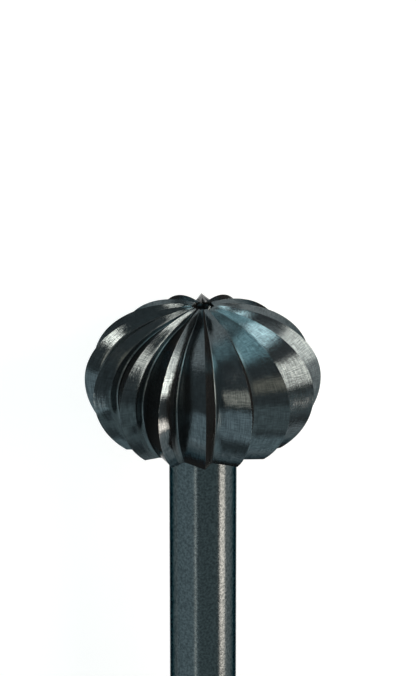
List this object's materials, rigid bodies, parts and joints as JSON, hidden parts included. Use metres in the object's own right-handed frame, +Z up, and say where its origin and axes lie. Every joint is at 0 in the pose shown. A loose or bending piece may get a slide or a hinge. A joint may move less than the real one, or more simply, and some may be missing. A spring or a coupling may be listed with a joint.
{
  "type": "carbide burr",
  "caption": "Rotary carbide burr: a flattened ball head with straight ratchet teeth and a small nose recess, brazed onto a plain round shank.",
  "frame": {"origin": "on the ground under the middle of the tool's box, the tool lying as it rests", "axes": "+X from the shank's free end towards the nose, +Z up; the tool's own axis leans 3.92 degrees up towards +X, because the head is wider than the shank"},
  "size_m": [0.0444, 0.008, 0.008],
  "materials": {
    "carbide": "sintered tungsten carbide, ground, with fine wheel marks",
    "steel": "hardened steel, centreless ground",
    "braze": "silver brazing alloy, dull"
  },
  "bodies": {
    "root": {"cutting_head": "carbide", "shank": "steel", "braze_joint": "braze"}
  },
  "joints": []
}
